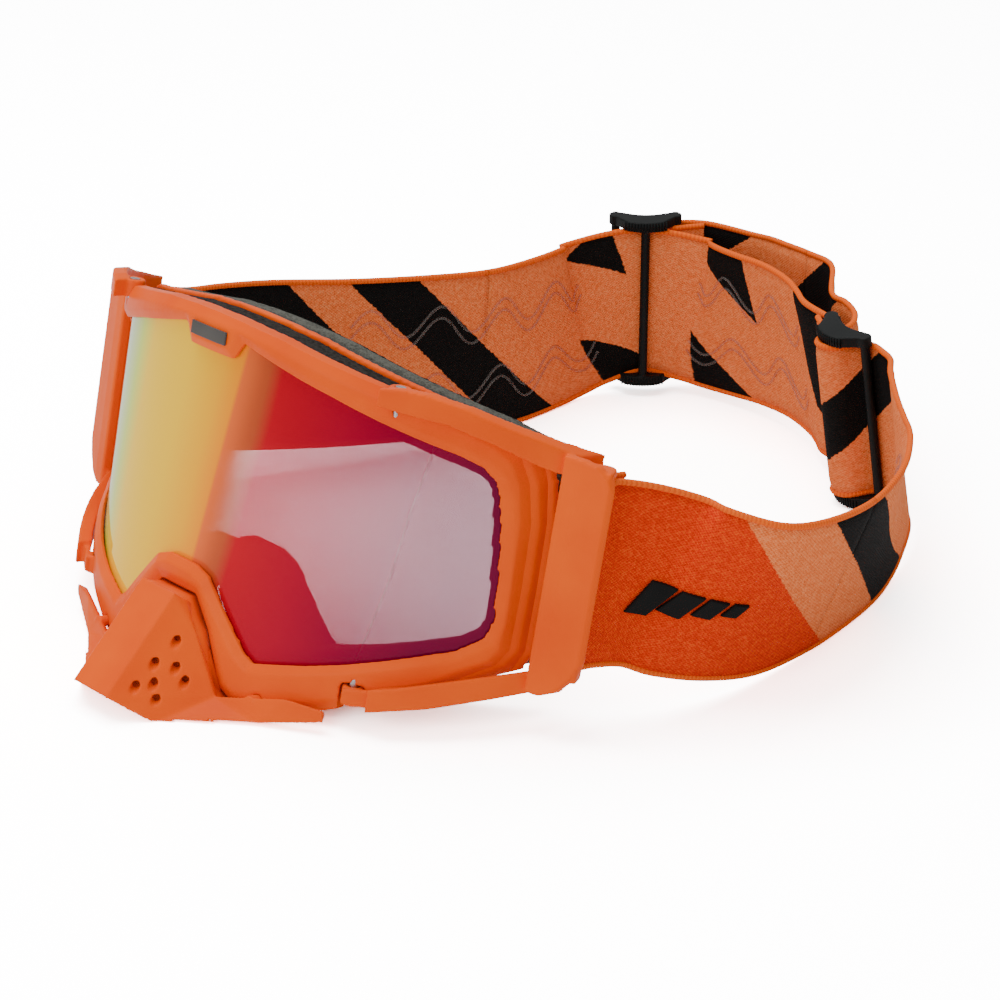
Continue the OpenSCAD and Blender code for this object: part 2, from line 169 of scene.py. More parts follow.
def moulded(name, low, high, rough, grain_mm=0.5, grain_depth=0.012):
    """Injection moulded nylon: an even colour, a fine spark-eroded grain and a soft sheen."""
    m, tree, shader, _ = new_material(name)
    co = in_mm(tree)
    tint = ramp(tree, noise(tree, co, 22), [(0.3, low), (0.7, high)])
    tree.links.new(tint, shader.inputs["Base Color"])
    patch = noise(tree, co, 6, 5)
    worn = scaled(tree, patch, ROUGH_SPREAD, rough - ROUGH_SPREAD / 2)
    tree.links.new(worn, shader.inputs["Roughness"])
    tree.links.new(bump(tree, noise(tree, co, grain_mm, 2), grain_depth), shader.inputs["Normal"])
    shader.inputs["Specular IOR Level"].default_value = 0.1
    return m


def foam(name, dark, light, pore_mm=0.6, depth=0.25):
    """Open cell polyurethane foam: matt, with pores that show as dark specks."""
    m, tree, shader, _ = new_material(name)
    co = in_mm(tree)
    cells = add(tree, "ShaderNodeTexVoronoi", Vector=co, Scale=1 / pore_mm).outputs[0]
    mottle = noise(tree, co, 2.5, 5)
    both = maths(tree, "MULTIPLY", maths(tree, "ADD", cells, 0.35), mottle)
    tree.links.new(ramp(tree, both, [(0.1, dark), (0.5, light)]), shader.inputs["Base Color"])
    tree.links.new(bump(tree, cells, depth), shader.inputs["Normal"])
    shader.inputs["Roughness"].default_value = 0.95
    shader.inputs["Specular IOR Level"].default_value = 0.1
    return m


def steel(name):
    """Turned stainless steel pin: bright, with fine rings from the tool."""
    m, tree, shader, _ = new_material(name)
    rings = add(tree, "ShaderNodeTexWave", {"bands_direction": "Z"}, Vector=in_mm(tree), Scale=1.2,
                Distortion=0.4).outputs[1]
    tree.links.new(ramp(tree, rings, [(0.0, "#9A9C9E"), (1.0, "#C9CBCD")]), shader.inputs["Base Color"])
    tree.links.new(bump(tree, rings, 0.01), shader.inputs["Normal"])
    shader.inputs["Metallic"].default_value = 1
    shader.inputs["Roughness"].default_value = 0.3
    return m


# The coating in mm across the lens: its half width, where the bright part, a painted reflection of a softbox,
# stops and the clear part begins, the share of the height by which that edge leans, and its unevenness
LENS_HALF = 75
REFLECTION_EDGE = 2.6
CLEAR_FROM = 12
REFLECTION_LEAN = 0.16
REFLECTION_WOBBLE = 3.0


def coated_lens_painted_reflection():
    """Mirror coated polycarbonate: a painted reflection of a softbox, bright to one side, over coating hues that
    change with angle painted by place, thinning to a clear red tint on the other.
    """
    m, tree, shader, out = new_material("mirror_coated_polycarbonate")
    co = in_mm(tree)
    parts = add(tree, "ShaderNodeSeparateXYZ", Vector=co)
    x = maths(tree, "ADD", parts.outputs[0], -SHIFT[0])
    # The painted reflection's edge leans, so it's followed across the lens as x less a share of the height
    slant = scaled(tree, parts.outputs[2], -REFLECTION_LEAN, REFLECTION_LEAN * RISE)
    along = maths(tree, "ADD", x, slant)
    wobble = scaled(tree, noise(tree, co, 30, 1), REFLECTION_WOBBLE, -REFLECTION_WOBBLE / 2)
    band = add(tree, "ShaderNodeMapRange", Value=maths(tree, "ADD", along, wobble))
    band.inputs[1].default_value = -LENS_HALF
    band.inputs[2].default_value = LENS_HALF
    across = band.outputs[0]
    # Painted reflection: the softbox's bright reflection and the coating's hues that change with viewing angle,
    # painted by place across the lens
    bright = ramp(tree, across, [(0.0, "#7FB0A8"), (0.12, "#B0CCA0"), (0.22, "#CCDC40"), (0.275, "#FFCE00"),
                                 (0.40, "#FFC800"), (0.48, "#FFB000"), (0.52, "#FF9600")])
    # The coating's own red tint on the see-through side, with its shift towards magenta at wider angles painted
    # by place
    deep = ramp(tree, across, [(0.5, "#F0702E"), (0.575, "#E86438"), (0.6, "#EE0A2C"), (0.72, "#D60638"),
                               (0.84, "#AA0040"), (0.92, "#900042")])
    edge = add(tree, "ShaderNodeMapRange", {"interpolation_type": "SMOOTHSTEP"}, Value=along)
    edge.inputs[1].default_value = REFLECTION_EDGE
    edge.inputs[2].default_value = REFLECTION_EDGE + 1.6
    coat = add(tree, "ShaderNodeBsdfGlossy", Color=mix(tree, edge.outputs[0], bright, deep), Roughness=0.05)
    # A diffuse layer carries the same painted reflection colours as surface colour
    painted_reflection_diffuse = add(tree, "ShaderNodeBsdfDiffuse", Color=mix(tree, edge.outputs[0], bright, deep))
    coating = add(tree, "ShaderNodeMixShader", Fac=0.8, in1=coat.outputs[0], in2=painted_reflection_diffuse.outputs[0])
    clear = add(tree, "ShaderNodeBsdfTransparent", Color=linear("#B4ACB0"))
    # Opacity follows the painted reflection: nearly opaque where it is bright, clearing to a tint beyond
    share = add(tree, "ShaderNodeMapRange", {"interpolation_type": "SMOOTHSTEP"}, Value=along)
    share.inputs[1].default_value = REFLECTION_EDGE
    share.inputs[2].default_value = CLEAR_FROM
    share.inputs[3].default_value = 0.97
    share.inputs[4].default_value = 0.58
    seen = add(tree, "ShaderNodeMixShader", Fac=share.outputs[0], in1=clear.outputs[0], in2=coating.outputs[0])
    gloss = add(tree, "ShaderNodeBsdfGlossy", Color=(1, 1, 1, 1), Roughness=0.03)
    rim = add(tree, "ShaderNodeFresnel", IOR=1.18)
    top = add(tree, "ShaderNodeMixShader", Fac=rim.outputs[0], in1=seen.outputs[0], in2=gloss.outputs[0])
    tree.links.new(top.outputs[0], out.inputs["Surface"])
    tree.nodes.remove(shader)
    return m


def inside(tree, u, v, corners, soft=0.35):
    """1 inside a convex outline given clockwise in mm along and across the strap, else 0."""
    found = None
    for (ua, va), (ub, vb) in zip(corners, corners[1:] + corners[:1]):
        length = math.hypot(ub - ua, vb - va)
        nu, nv = (vb - va) / length, -(ub - ua) / length
        d = scaled(tree, u, nu, -(ua * nu + va * nv))
        d = maths(tree, "ADD", d, maths(tree, "MULTIPLY", v, nv))
        step = scaled(tree, d, 1 / soft, 0.5, clamp=True)
        found = step if found is None else maths(tree, "MULTIPLY", found, step)
    return found


def slanted(tree, u, v, lean, start, end, soft=0.35):
    """1 in a slanted band, between two places measured along the strap's lower edge."""
    q = maths(tree, "ADD", u, maths(tree, "MULTIPLY", v, lean))
    a = scaled(tree, q, 1 / soft, -start / soft, clamp=True)
    b = scaled(tree, q, -1 / soft, end / soft, clamp=True)
    return maths(tree, "MULTIPLY", a, b)


RIB_MM = 1.1
YARN_MM = 0.8
CORD_TURN_MM = 1.0


def elastic(name, bands, shapes, deep_end=None, lean=1.06):
    """Jacquard woven elastic: colours change yarn by yarn, over fine ribs with a soft nap."""
    m, tree, shader, _ = new_material(name)
    at = add(tree, "ShaderNodeAttribute", {"attribute_name": "cloth"}).outputs["Vector"]
    uneven = add(tree, "ShaderNodeTexNoise", {"noise_dimensions": "2D"}, Vector=at, Scale=0.9,
                 Detail=2).outputs[1]
    shaken = add(tree, "ShaderNodeVectorMath", {"operation": "MULTIPLY_ADD"}, in0=uneven,
                 in1=(0.9, 0.9, 0), in2=at).outputs[0]
    parts = add(tree, "ShaderNodeSeparateXYZ", Vector=shaken)
    u, v = parts.outputs[0], parts.outputs[1]
    black = None
    for start, end in bands:
        found = slanted(tree, u, v, lean, start, end)
        black = found if black is None else maths(tree, "MAXIMUM", black, found)
    for corners in shapes:
        found = inside(tree, u, v, corners)
        black = found if black is None else maths(tree, "MAXIMUM", black, found)
    # Ribs run across the strap and yarns along it, coarse enough to show
    plain = add(tree, "ShaderNodeSeparateXYZ", Vector=at)
    rib = maths(tree, "SINE", maths(tree, "MULTIPLY", plain.outputs[0], 2 * math.pi / RIB_MM))
    yarn = maths(tree, "SINE", maths(tree, "MULTIPLY", plain.outputs[1], 2 * math.pi / YARN_MM))
    weave = maths(tree, "MULTIPLY", rib, yarn)
    fluff = noise(tree, at, 0.7, 4)
    speck = scaled(tree, weave, 0.16, fluff)
    peach = ramp(tree, speck, [(0.25, "#E0672A"), (0.5, "#F67E42"), (0.75, "#FF985E")])
    if deep_end is not None:
        deep = ramp(tree, speck, [(0.25, "#C82800"), (0.5, "#E23400"), (0.78, "#F65A10")])
        peach = mix(tree, slanted(tree, u, v, lean, -200, deep_end), peach, deep)
    dark = ramp(tree, speck, [(0.3, "#080707"), (0.8, "#171413")])
    tree.links.new(mix(tree, black, peach, dark), shader.inputs["Base Color"])
    tree.links.new(bump(tree, scaled(tree, weave, 0.5, fluff), 0.16), shader.inputs["Normal"])
    shader.inputs["Roughness"].default_value = 0.85
    shader.inputs["Specular IOR Level"].default_value = 0.12
    return m


def corded(name):
    """Woven edge cord of the elastic: tight slanted turns of orange yarn."""
    m, tree, shader, _ = new_material(name)
    at = add(tree, "ShaderNodeAttribute", {"attribute_name": "cloth"}).outputs["Vector"]
    parts = add(tree, "ShaderNodeSeparateXYZ", Vector=at)
    turns = maths(tree, "SINE", maths(tree, "MULTIPLY", parts.outputs[0], 2 * math.pi / CORD_TURN_MM))
    tree.links.new(ramp(tree, scaled(tree, turns, 0.3, 0.5), [(0.0, "#DC4C00"), (0.6, "#F66A14")]),
                   shader.inputs["Base Color"])
    tree.links.new(bump(tree, turns, 0.05), shader.inputs["Normal"])
    shader.inputs["Roughness"].default_value = 0.75
    shader.inputs["Specular IOR Level"].default_value = 0.15
    return m


def silicone(name):
    """Clear silicone printed on the elastic: it shows by its shine and takes the colour below it."""
    m, tree, shader, out = new_material(name)
    tree.links.new(bump(tree, noise(tree, in_mm(tree), 0.8, 2), 0.03), shader.inputs["Normal"])
    shader.inputs["Base Color"].default_value = linear("#B8ACA6")
    shader.inputs["Roughness"].default_value = 0.22
    clear = add(tree, "ShaderNodeBsdfTransparent", Color=linear("#F6EEEA"))
    both = add(tree, "ShaderNodeMixShader", Fac=0.16, in1=clear.outputs[0], in2=shader.outputs[0])
    tree.links.new(both.outputs[0], out.inputs["Surface"])
    return m


def thread(name):
    """Twisted polyester sewing thread."""
    m, tree, shader, _ = new_material(name)
    tree.links.new(ramp(tree, noise(tree, in_mm(tree), 0.4, 2), [(0.3, "#C85A18"), (0.7, "#F08A44")]),
                   shader.inputs["Base Color"])
    shader.inputs["Roughness"].default_value = 0.6
    return m


ORANGE = moulded("moulded_nylon_orange", "#E85000", "#F45E00", 0.42)
SLIDE_BLACK = moulded("moulded_acetal_black", "#131515", "#1C1E1E", 0.42, 0.4)
RUBBER = moulded("moulded_rubber_black", "#0C0C0C", "#161616", 0.55, 0.35, 0.02)
SEAL = moulded("soft_seal_rubber", "#101010", "#1C1C1C", 0.7)
PLATE = moulded("satin_plate_grey", "#3E3C3A", "#565350", 0.35, 0.3)
FOAM_FIRM = foam("firm_face_foam", "#2A2A28", "#4E4E48")
FOAM_SOFT = foam("soft_face_foam", "#34342F", "#5C5C55")
FOAM_VENT = foam("vent_foam", "#100F0E", "#322F2C", 1.1, 0.5)
FLEECE = foam("brushed_fleece", "#0A0A0A", "#1E1E1C", 0.9, 0.3)
STEEL = steel("turned_stainless_steel")
LENS = coated_lens_painted_reflection()
CORD = corded("woven_edge_cord")
GRIP = silicone("printed_silicone")
THREAD = thread("polyester_thread")

# ---------------------------------------------------------------- mesh helpers


def link(name, mesh):
    o = bpy.data.objects.new(name, mesh)
    scene.collection.objects.link(o)
    return o


def applied(o):
    """The object's evaluated mesh as plain data, with its modifiers gone."""
    mesh = bpy.data.meshes.new_from_object(o.evaluated_get(bpy.context.evaluated_depsgraph_get()))
    o.modifiers.clear()
    o.data = mesh
    return o


def vertices(mesh):
    co = np.zeros(len(mesh.vertices) * 3)
    mesh.vertices.foreach_get("co", co)
    return co.reshape(-1, 3)


def set_vertices(mesh, co):
    mesh.vertices.foreach_set("co", co.ravel())
    mesh.update()


def softened(node, name, material, voxel_mm, rounds, shape=None, smooth_factor=0.5):
    """A finely meshed copy of a CAD node with its edges rounded, and shaped by a function of goggle points."""
    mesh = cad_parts[node].data.copy()
    b = bmesh.new()
    b.from_mesh(mesh)
    bmesh.ops.remove_doubles(b, verts=b.verts, dist=2e-6)
    b.to_mesh(mesh)
    b.free()
    mesh.materials.clear()
    o = link(name, mesh)
    m = o.modifiers.new("voxels", "REMESH")
    m.mode = "VOXEL"
    m.voxel_size = voxel_mm * MM
    applied(o)
    if shape:
        co = unstand(from_row(vertices(o.data)))
        set_vertices(o.data, to_row(stand(shape(co))))
    m = o.modifiers.new("rounding", "SMOOTH")
    m.factor = smooth_factor
    m.iterations = rounds
    applied(o)
    o.data.materials.clear()
    o.data.materials.append(material)
    o.data.polygons.foreach_set("use_smooth", [True] * len(o.data.polygons))
    return o


def keep(o, body, nodes):
    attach(o, body)
    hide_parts(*nodes)
    return o


# ---------------------------------------------------------------- goggle shell

# Outer edge of the frame and its lens opening, right half, clockwise from the top middle
OUTER_HALF = [(0, 41), (8, 40.8), (20, 39.7), (35, 36.8), (45, 34.8), (60, 31.6), (69, 28.4), (73.4, 24.6),
              (75.6, 18), (76.8, 8), (77, -8), (76.8, -24), (74.6, -29.2), (66, -34.4), (55, -40.2), (44, -45.4),
              (33, -49.2), (22.5, -50.5), (17.6, -47.6), (12, -35), (6.5, -27.5), (0, -27.5)]
OPENING_HALF = [(0, 31.4), (7.8, 31.4), (10.4, 36), (28, 31.4), (35, 29.7), (62, 21.9), (66, 19.9), (68.3, 17),
                (69.2, 13), (70.1, 5), (70.9, -7.5), (71.2, -16.6), (70.3, -21), (66, -25.1), (55.5, -29.8),
                (46.7, -33.2), (38.2, -35.9), (25.4, -39.2), (22.6, -37.4), (9.4, -22.4), (5, -20.7), (0, -20.6)]


def from_outline(half, x, w):
    """Distance of each point from a half outline, both taken on the right side."""
    p = np.stack([np.abs(x), w], 1)
    best = np.full(len(p), 1e9)
    for a, b in zip(np.array(half[:-1], float), np.array(half[1:], float)):
        t = np.clip(((p - a) @ (b - a)) / ((b - a) @ (b - a)), 0, 1)
        best = np.minimum(best, np.linalg.norm(p - a - t[:, None] * (b - a), axis=1))
    return best


def ease(value, low, high):
    t = np.clip((value - low) / (high - low), 0, 1)
    return t * t * (3 - 2 * t)


SIDE_BEVEL = (4.2, 3.4)
TOP_BEVEL = (2.4, 1.3)
LENS_BEVEL = (2.0, 1.3)


def bevel_front(p):
    """Chamfers the bezel: deep along the sides, light along the top and chin, and into the lens opening."""
    x, v, w = p.T
    radius = np.hypot(x, v - LENS_CENTRE_Y)
    side = ease(np.abs(x), 60, 74)
    width = TOP_BEVEL[0] + side * (SIDE_BEVEL[0] - TOP_BEVEL[0])
    depth = TOP_BEVEL[1] + side * (SIDE_BEVEL[1] - TOP_BEVEL[1])
    cut = depth * np.clip(1 - from_outline(OUTER_HALF, x, w) / width, 0, 1)
    inner = LENS_BEVEL[1] * np.clip(1 - from_outline(OPENING_HALF, x, w) / LENS_BEVEL[0], 0, 1)
    limit = FRONT_R - np.maximum(cut, inner)
    scale = np.minimum(1, limit / radius)
    return np.stack([x * scale, LENS_CENTRE_Y + (v - LENS_CENTRE_Y) * scale, w], 1)


front = softened("front_frame", "front_shell", ORANGE, 0.42, 9, bevel_front)
keep(front, "root", ["front_frame"])
inner = softened("inner_frame", "face_frame", ORANGE, 0.55, 3)
keep(inner, "root", ["inner_frame"])
guard = softened("nose_guard", "nose_shield", ORANGE, 0.36, 4)
keep(guard, "nose_guard", ["nose_guard"])
# The shield's inner return: from the edge of its face back through the frame's arch, right half from the top
LIP_FRONT = [(0, -55.4, -27.4), (6, -55.2, -27.6), (12.2, -52.9, -35.2), (17, -52.1, -46.6), (20.6, -51.4, -48.8)]
LIP_BACK = [(0, -47.4, -28.4), (6, -47.4, -28.5), (11.3, -47.2, -35.6), (16.8, -46.6, -47.8), (21.2, -46, -51)]

LINING = [(5, -52.4, -28), (5, -67.6, -49.6), (12.6, -60, -54), (18.6, -48.4, -48.6), (11.2, -49.4, -35.6)]


def guard_lip():
    """A thin orange wall that closes the shield to the frame's arch."""
    rows = []
    for line in (LIP_FRONT, LIP_BACK):
        half = np.array(line, float)
        rows.append(np.concatenate([half[:0:-1] * (-1, 1, 1), half]))
    outer = np.concatenate(rows)
    n = len(rows[0])
    under = outer - (0, 0, 0.9)
    points = np.concatenate([outer, under])
    faces = []
    for i in range(n - 1):
        faces.append((i, i + 1, n + i + 1, n + i))
        faces.append((2 * n + i, 3 * n + i, 3 * n + i + 1, 2 * n + i + 1))
        faces.append((i, 2 * n + i, 2 * n + i + 1, i + 1))
        faces.append((n + i, n + i + 1, 3 * n + i + 1, 3 * n + i))
    for i in (0, n - 1):
        faces.append((i, n + i, 3 * n + i, 2 * n + i))
    # A lining behind each pierced face, set back from it, darkens its breathing holes
    for side in (-1, 1):
        face = np.array(LINING, float) * (side, 1, 1)
        k, base = len(face), len(points)
        points = np.concatenate([points, face, face + (0, 0.8, 0)])
        faces.append(tuple(base + i for i in range(k)))
        faces.append(tuple(base + k + i for i in reversed(range(k))))
        faces += [(base + i, base + k + i, base + k + (i + 1) % k, base + (i + 1) % k) for i in range(k)]
    return points, faces


for side in ("left", "right"):
    o = softened(f"outrigger_{side}", f"outrigger_arm_{side}", ORANGE, 0.4, 4)
    keep(o, f"outrigger_{side}", [f"outrigger_{side}"])
for node, name, material, slot, fill in (
        ("face_foam_base", "firm_foam_layer", FOAM_FIRM, "face_foam_dark", 0.9),
        ("face_foam_mid", "soft_foam_layer", FOAM_SOFT, "face_foam", 0.8),
        ("fleece_liner", "fleece_layer", FLEECE, "fleece", 0.7),
        ("vent_foam_top", "vent_strip_top", FOAM_VENT, "vent_foam", 0.5),
        ("vent_foam_bottom", "vent_strip_bottom", FOAM_VENT, "vent_foam", 0.5)):
    o = softened(node, name, material, 0.6, 7)
    keep(o, "root", [node])
seal = softened("lens_seal", "lens_gasket", SEAL, 0.4, 2)
keep(seal, "root", ["lens_seal"])
plate = softened("tab_badge", "tab_plate", PLATE, 0.16, 3)
keep(plate, "root", ["tab_badge"])

for node, material in (("lens", LENS), ("hinge_pins_left", STEEL), ("hinge_pins_right", STEEL)):
    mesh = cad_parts[node].data
    mesh.materials.clear()
    mesh.materials.append(material)

# ---------------------------------------------------------------- strap routes

# Routes of the elastic: the lower edge in plan, its height, the outward lean and the width there
LEFT_ROUTE = [(-88.9, 7, 14, 0, 45), (-85, 20, 10.6, 1, 47), (-77.8, 36.6, 7.6, 1, 48.6),
              (-67.4, 57.8, 5.4, 0, 48.6), (-58.4, 79, 3.6, -1, 48.6), (-53, 97, 1.8, -1, 48.6),
              (-51.6, 114, 1, -1, 48.6), (-51.8, 130, 1, -1, 48.6), (-51.6, 139.4, 1.8, -1, 48),
              (-49.2, 146.8, 4, -2, 46.8), (-42.5, 155, 7.2, -3, 45), (-34.4, 161.8, 5.2, -6, 46.6),
              (-26.8, 164.9, 4, -8, 48), (-17, 166.6, 3.8, -10, 48.4), (-6, 166.8, 4.4, -12, 48.4),
              (6.2, 165, 4.8, -12, 48.4), (18.2, 160, 5, -11, 48), (25, 155.6, 5, -10, 47),
              (30.4, 151.6, 5, -9, 45.6)]
RIGHT_ROUTE = [(89.2, 6.6, 14, 0, 45), (93, 13.6, 10.4, 9, 46.6), (98.2, 26, 6.4, 18, 47.6),
               (100.8, 42, 2.8, 20, 48), (100.2, 62, 1.4, 20, 48), (97.6, 80.6, 1.2, 16, 48),
               (93.8, 96.4, 1, 9, 48), (89.6, 108, 1.6, 3, 48), (85, 118, 3.2, -3, 47.4),
               (77.8, 130.2, 4.6, -8, 46.4)]
# The weave through the second slide, along and outwards from it
WEAVE = [(19, 5), (14.2, 5.8), (8.8, 5.8), (5.4, 3.4), (3.4, -2.4), (0, -4.8), (-3.3, -4.3), (-4.9, -1.2),
         (-4.6, 3), (-5.6, 7.4), (-9, 10.8), (-13.5, 12.8), (-19.5, 13.7), (-26.5, 13.8)]
RETURN_ROUTE = [(18, 168, 5, 0, 47.6), (6, 171.6, 4.6, 0, 47.8), (-6, 173.6, 4.6, 0, 47.4),
                (-14, 174.2, 5, 0, 47), (-21, 174, 5.6, -1, 46.4)]
# Slides: where the strap's lower edge crosses them, their direction and inward tilt
SLIDE_ONE = ((-42.5, 155, 7.2), 44.6, 3)
SLIDE_TWO = ((51.3, 139, 4.8), -20, 9)
SIDE_STEP = 3.45
CENTRE_STEP = 2.3
STRAP_T = 1.3
SLIDE_W = 45


def on_slide(slide, s, o, h=0.0):
    """A floor frame point from its place along, outwards from and up a slide."""
    (cx, cy, cz), turn, tilt = slide
    t, k = math.radians(turn), math.radians(tilt)
    out = o * math.cos(k) - h * math.sin(k)
    up = o * math.sin(k) + h * math.cos(k)
    return np.array([cx + s * math.cos(t) - out * math.sin(t), cy + s * math.sin(t) + out * math.cos(t), cz + up])


def unit(v):
    return v / np.linalg.norm(v)


def route_keys(route, outward):
    """Keys of a route: lower edge, direction across the strap, and width."""
    p = np.array(route, float)
    keys = []
    for i in range(len(p)):
        d = unit((p[min(i + 1, len(p) - 1)] - p[max(i - 1, 0)])[:3])
        level = unit(np.cross(d, (0, 0, 1))) * outward
        plumb = np.cross(level, d) * outward
        lean = math.radians(p[i][3])
        keys.append((p[i][:3], math.cos(lean) * plumb + math.sin(lean) * level, p[i][4]))
    return keys


def slide_keys(slide, places, width=SLIDE_W):
    across = unit(on_slide(slide, 0, 0, 1) - on_slide(slide, 0, 0, 0))
    return [(on_slide(slide, s, o), across, width) for s, o in places]


def post_keys(side, places, width=SLIDE_W, foot=-23):
    across = unit(stand([(0, 0, 1)])[0] - stand([(0, 0, 0)])[0])
    return [(stand([(side * x, v, foot)])[0], across, width) for x, v in places]


# The end of the strap round an outrigger's post, from its sewn inner end to the outside
POST_LOOP = [(84.2, 7.4), (84, 2), (84, -1.6), (84.7, -3.3), (86.4, -4), (88.1, -3.3), (88.8, -1.6), (88.9, 3)]
LEFT_END_LOOP = [(-20, 4.9), (-14, 5.4), (-8.6, 5.5), (-7.1, 4.9), (-6.6, 3.4), (-7.2, 2), (-8.6, 1.4),
                 (-12, 2), (-16, 3.2)]
RIGHT_END_LOOP = [(24, 4.6), (18, 5.2), (8.6, 5.5), (7.1, 4.9), (6.6, 3.4), (7.2, 2), (8.6, 1.4), (12, 2.2),
                  (17, 3.3)]

STRAP_A = (post_keys(-1, POST_LOOP) + route_keys(LEFT_ROUTE, -1) + slide_keys(SLIDE_TWO, LEFT_END_LOOP[1:]))
STRAP_B = (post_keys(1, POST_LOOP) + route_keys(RIGHT_ROUTE, 1) + slide_keys(SLIDE_TWO, WEAVE)
           + route_keys(RETURN_ROUTE, 1) + slide_keys(SLIDE_ONE, RIGHT_END_LOOP[1:]))


def catmull(p, i, t):
    a, b, c, d = (p[min(max(k, 0), len(p) - 1)] for k in (i - 1, i, i + 1, i + 2))
    return 0.5 * (2 * b + (c - a) * t + (2 * a - 5 * b + 4 * c - d) * t ** 2 + (3 * b - a - 3 * c + d) * t ** 3)


STEPS = 8


class Web:
    """A strap as a run of cross-sections, each a lower edge, a way across, a way out and a width."""

    def __init__(self, keys, outward):
        low = [k[0] for k in keys]
        across = [k[1] for k in keys]
        width = [np.array([k[2]]) for k in keys]
        spots = [(i, k / STEPS) for i in range(len(keys) - 1) for k in range(STEPS)] + [(len(keys) - 2, 1.0)]
        self.low = np.array([catmull(low, i, t) for i, t in spots])
        self.across = np.array([unit(catmull(across, i, t)) for i, t in spots])
        self.width = np.array([catmull(width, i, t)[0] for i, t in spots])
        ahead = np.gradient(self.low, axis=0)
        self.out = np.array([unit(np.cross(d, a)) * outward for d, a in zip(ahead, self.across)])
        middle = self.low + self.across * self.width[:, None] / 2
        self.u = np.concatenate([[0], np.cumsum(np.linalg.norm(np.diff(middle, axis=0), axis=1))])

    def at_key(self, i):
        return self.u[i * STEPS]

    def point(self, u, v, lift):
        """A floor frame point u along, v up and lift outwards from the strap's middle surface."""
        pick = lambda table: np.array([np.interp(u, self.u, table[:, k]) for k in range(3)])
        share = v / PATTERN_W * np.interp(u, self.u, self.width)
        return pick(self.low) + pick(self.across) * share + pick(self.out) * lift


web_a = Web(STRAP_A, -1)
web_b = Web(STRAP_B, 1)


def grid_faces(rows, columns, closed=True):
    """Quads between rows of points, each row closed on itself if asked."""
    last = columns if closed else columns - 1
    return [(r * columns + c, r * columns + (c + 1) % columns, (r + 1) * columns + (c + 1) % columns,
             (r + 1) * columns + c) for r in range(rows - 1) for c in range(last)]


def finished(name, points, faces, materials, cloth=None, marks=None):
    """A mesh piece from row frame points, with its strap coordinates and material of each face."""
    mesh = bpy.data.meshes.new(name)
    mesh.from_pydata([tuple(p) for p in points], [], faces)
    for m in materials:
        mesh.materials.append(m)
    if marks is not None:
        mesh.polygons.foreach_set("material_index", marks)
    mesh.polygons.foreach_set("use_smooth", [True] * len(mesh.polygons))
    if cloth is not None:
        layer = mesh.attributes.new("cloth", "FLOAT_VECTOR", "POINT")
        layer.data.foreach_set("vector", np.array(cloth, np.float32).ravel())
    b = bmesh.new()
    b.from_mesh(mesh)
    bmesh.ops.recalc_face_normals(b, faces=b.faces)
    b.to_mesh(mesh)
    b.free()
    return link(name, mesh)


CORD_R = 0.85
CORD_SIDES = 8
COLUMNS = 14
EDGE_PINCH = 0.35
PATTERN_W = 48


def strap_piece(name, web, first, last, material):
    """A length of elastic between two keys, with a round woven cord along both edges."""
    rows = range(first * STEPS, last * STEPS + 1)
    points, cloth, faces, marks = [], [], [], []
    share = np.linspace(0, 1, COLUMNS)
    for r in rows:
        for sign, order in ((1, share), (-1, share[::-1])):
            for k in order:
                lift = sign * STRAP_T / 2 * (EDGE_PINCH if k in (0, 1) else 1)
                points.append(web.low[r] + web.across[r] * web.width[r] * k + web.out[r] * lift)
                cloth.append((web.u[r], PATTERN_W * k, sign))
    n = len(rows)
    faces += grid_faces(n, 2 * COLUMNS)
    for ring in (0, n - 1):
        faces.append(tuple(ring * 2 * COLUMNS + c for c in range(2 * COLUMNS)))
    marks += [0] * len(faces)
    for k in (0, 1):
        base = len(points)
        for r in rows:
            for j in range(CORD_SIDES):
                a = 2 * math.pi * j / CORD_SIDES
                points.append(web.low[r] + web.across[r] * (web.width[r] * k + CORD_R * math.sin(a))
                              + web.out[r] * CORD_R * math.cos(a))
                cloth.append((web.u[r], PATTERN_W * k, j))
        made = [tuple(base + i for i in f) for f in grid_faces(n, CORD_SIDES)]
        made += [tuple(base + ring * CORD_SIDES + j for j in range(CORD_SIDES)) for ring in (0, n - 1)]
        faces += made
        marks += [1] * len(made)
    o = finished(name, to_row(points), faces, [material, CORD], cloth, marks)
    o["length_mm"] = float(web.u[rows[-1]] - web.u[rows[0]])
    return o


def shares(outline, u0):
    return [(u + u0, v) for u, v in outline]


A0 = web_a.at_key(len(POST_LOOP))
B0 = web_b.at_key(len(POST_LOOP))
ELASTIC_A = elastic("woven_elastic_left",
                    [(A0 - 300, A0 + 84.7), (A0 + 102.5, A0 + 123)],
                    [shares(s, A0) for s in (
                        [(135, 44), (147, 52), (150, 34)],
                        [(132, 18), (153, 6), (150, -4), (137, -4)],
                        [(170, 45), (176, 54), (193, 54), (196, 28)],
                        [(169.6, 18), (192, -2), (174, -6)],
                        [(221, 47), (224, 54), (240, 54), (240, 10), (231, 16)])])
ELASTIC_B = elastic("woven_elastic_right",
                    [(B0 + 90.4, B0 + 112.8), (B0 + 176, B0 + 196), (B0 + 248, B0 + 274), (B0 + 306, B0 + 330)],
                    [], deep_end=B0 + 63.3)

last_a, last_b = len(STRAP_A) - 1, len(STRAP_B) - 1
mid_a = len(POST_LOOP) + 5
mid_b = len(POST_LOOP) + 4
loop_b = len(POST_LOOP) + len(RIGHT_ROUTE) + 6
far_b = len(POST_LOOP) + len(RIGHT_ROUTE) + len(WEAVE) + 1

